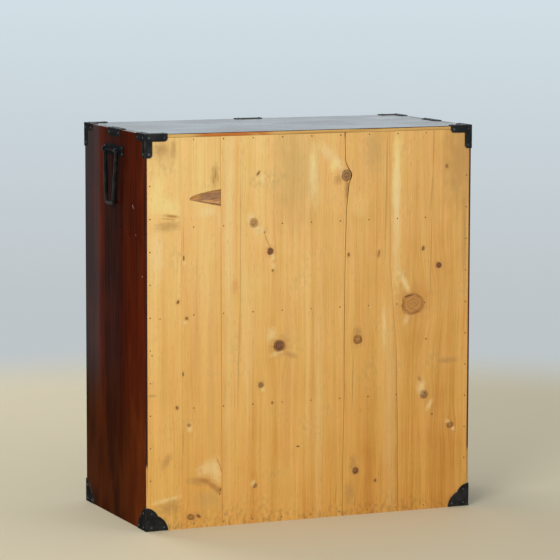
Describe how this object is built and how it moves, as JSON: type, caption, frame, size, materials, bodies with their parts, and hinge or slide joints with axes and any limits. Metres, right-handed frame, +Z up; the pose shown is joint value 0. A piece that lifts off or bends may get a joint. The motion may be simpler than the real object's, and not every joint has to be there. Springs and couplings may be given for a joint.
{
  "type": "small tansu chest",
  "caption": "Small boarded tansu chest with drawers, a hinged door, black iron edge fittings, drop bails and a carrying handle on each side.",
  "frame": {"origin": "centre of the flat underside of the case", "axes": "+Z up, the fronts of the drawers and the door face -Y, the nailed back faces +Y, +X is the right side seen from the front"},
  "size_m": [0.632, 0.3203, 0.6753],
  "materials": {
    "red_lacquer": "dark red-brown wiped lacquer over straight grain, glossy, worn at the edges",
    "bare_pine": "bare planed pine with knots, aged honey yellow",
    "case_lining": "bare softwood, lacquered only on its front edge",
    "drawer_lining": "bare light softwood",
    "black_iron": "hammered sheet and rod, black, satin",
    "nail_iron": "domed black tacks and dull nails"
  },
  "bodies": {
    "case": {"back_nails": "nail_iron", "back_plank_1": "bare_pine", "back_plank_2": "bare_pine", "back_plank_3": "bare_pine", "back_plank_4": "bare_pine", "back_plank_5": "bare_pine", "bottom_board": "red_lacquer", "carry_pins": "black_iron", "carry_plates": "black_iron", "door_hinge_case_leaves": "black_iron", "door_hinge_pins": "black_iron", "dust_board_lower": "case_lining", "dust_board_middle": "case_lining", "dust_board_upper": "case_lining", "front_center_strap": "black_iron", "iron_nails": "nail_iron", "lower_corner_iron_back_left": "black_iron", "lower_corner_iron_back_right": "black_iron", "lower_corner_irons_front": "black_iron", "partition": "case_lining", "side_edge_straps": "black_iron", "side_panel_left": "red_lacquer", "side_panel_right": "red_lacquer", "small_shelf": "case_lining", "top_board": "red_lacquer", "upper_corner_iron_back_left": "black_iron", "upper_corner_iron_back_right": "black_iron", "upper_corner_irons_front": "black_iron"},
    "carry_handle_right": {"carry_handle_right": "black_iron"},
    "carry_handle_left": {"carry_handle_left": "black_iron"},
    "door": {"door_panel": "red_lacquer", "door_hinge_door_leaves": "black_iron", "door_lock_plate": "black_iron", "door_ring_eye": "black_iron"},
    "door_ring": {"door_ring": "black_iron"},
    "drawer_top": {"drawer_top_bottom": "drawer_lining", "drawer_top_front": "red_lacquer", "drawer_top_lock_plate": "black_iron", "drawer_top_posts": "black_iron", "drawer_top_walls": "drawer_lining"},
    "drawer_top_bail_left": {"drawer_top_bail_left": "black_iron"},
    "drawer_top_bail_right": {"drawer_top_bail_right": "black_iron"},
    "drawer_upper": {"drawer_upper_bottom": "drawer_lining", "drawer_upper_front": "red_lacquer", "drawer_upper_posts": "black_iron", "drawer_upper_walls": "drawer_lining"},
    "drawer_upper_bail_left": {"drawer_upper_bail_left": "black_iron"},
    "drawer_upper_bail_right": {"drawer_upper_bail_right": "black_iron"},
    "drawer_middle": {"drawer_middle_bottom": "drawer_lining", "drawer_middle_front": "red_lacquer", "drawer_middle_posts": "black_iron", "drawer_middle_walls": "drawer_lining"},
    "drawer_middle_bail_left": {"drawer_middle_bail_left": "black_iron"},
    "drawer_middle_bail_right": {"drawer_middle_bail_right": "black_iron"},
    "small_drawer_upper": {"small_drawer_upper_box": "drawer_lining", "small_drawer_upper_front": "red_lacquer", "small_drawer_upper_knob": "black_iron"},
    "small_drawer_lower": {"small_drawer_lower_box": "drawer_lining", "small_drawer_lower_front": "red_lacquer", "small_drawer_lower_knob": "black_iron"}
  },
  "joints": [
    {"name": "carry_handle_right_hinge", "type": "hinge", "parent": "case", "child": "carry_handle_right", "pos_m": [0.311, 0.0015, 0.637], "axis": [0, -1, 0], "range_deg": [0, 180]},
    {"name": "carry_handle_left_hinge", "type": "hinge", "parent": "case", "child": "carry_handle_left", "pos_m": [-0.311, 0.0015, 0.637], "axis": [0, 1, 0], "range_deg": [0, 180]},
    {"name": "door_hinge", "type": "hinge", "parent": "case", "child": "door", "pos_m": [0.288, -0.1533, 0.108], "axis": [0, 0, 1], "range_deg": [0, 170]},
    {"name": "door_ring_hinge", "type": "hinge", "parent": "door", "child": "door_ring", "pos_m": [0.009, -0.158, 0.115], "axis": [-1, 0, 0], "range_deg": [0, 100]},
    {"name": "drawer_top_slide", "type": "slide", "parent": "case", "child": "drawer_top", "axis": [0, -1, 0], "range_m": [0, 0.23]},
    {"name": "drawer_top_bail_left_hinge", "type": "hinge", "parent": "drawer_top", "child": "drawer_top_bail_left", "pos_m": [-0.15, -0.16, 0.60005], "axis": [-1, 0, 0], "range_deg": [0, 170]},
    {"name": "drawer_top_bail_right_hinge", "type": "hinge", "parent": "drawer_top", "child": "drawer_top_bail_right", "pos_m": [0.15, -0.16, 0.60005], "axis": [-1, 0, 0], "range_deg": [0, 170]},
    {"name": "drawer_upper_slide", "type": "slide", "parent": "case", "child": "drawer_upper", "axis": [0, -1, 0], "range_m": [0, 0.23]},
    {"name": "drawer_upper_bail_left_hinge", "type": "hinge", "parent": "drawer_upper", "child": "drawer_upper_bail_left", "pos_m": [-0.15, -0.16, 0.45105], "axis": [-1, 0, 0], "range_deg": [0, 170]},
    {"name": "drawer_upper_bail_right_hinge", "type": "hinge", "parent": "drawer_upper", "child": "drawer_upper_bail_right", "pos_m": [0.15, -0.16, 0.45105], "axis": [-1, 0, 0], "range_deg": [0, 170]},
    {"name": "drawer_middle_slide", "type": "slide", "parent": "case", "child": "drawer_middle", "axis": [0, -1, 0], "range_m": [0, 0.23]},
    {"name": "drawer_middle_bail_left_hinge", "type": "hinge", "parent": "drawer_middle", "child": "drawer_middle_bail_left", "pos_m": [-0.15, -0.16, 0.29705], "axis": [-1, 0, 0], "range_deg": [0, 170]},
    {"name": "drawer_middle_bail_right_hinge", "type": "hinge", "parent": "drawer_middle", "child": "drawer_middle_bail_right", "pos_m": [0.15, -0.16, 0.29705], "axis": [-1, 0, 0], "range_deg": [0, 170]},
    {"name": "small_drawer_upper_slide", "type": "slide", "parent": "case", "child": "small_drawer_upper", "axis": [0, -1, 0], "range_m": [0, 0.23]},
    {"name": "small_drawer_lower_slide", "type": "slide", "parent": "case", "child": "small_drawer_lower", "axis": [0, -1, 0], "range_m": [0, 0.23]}
  ]
}
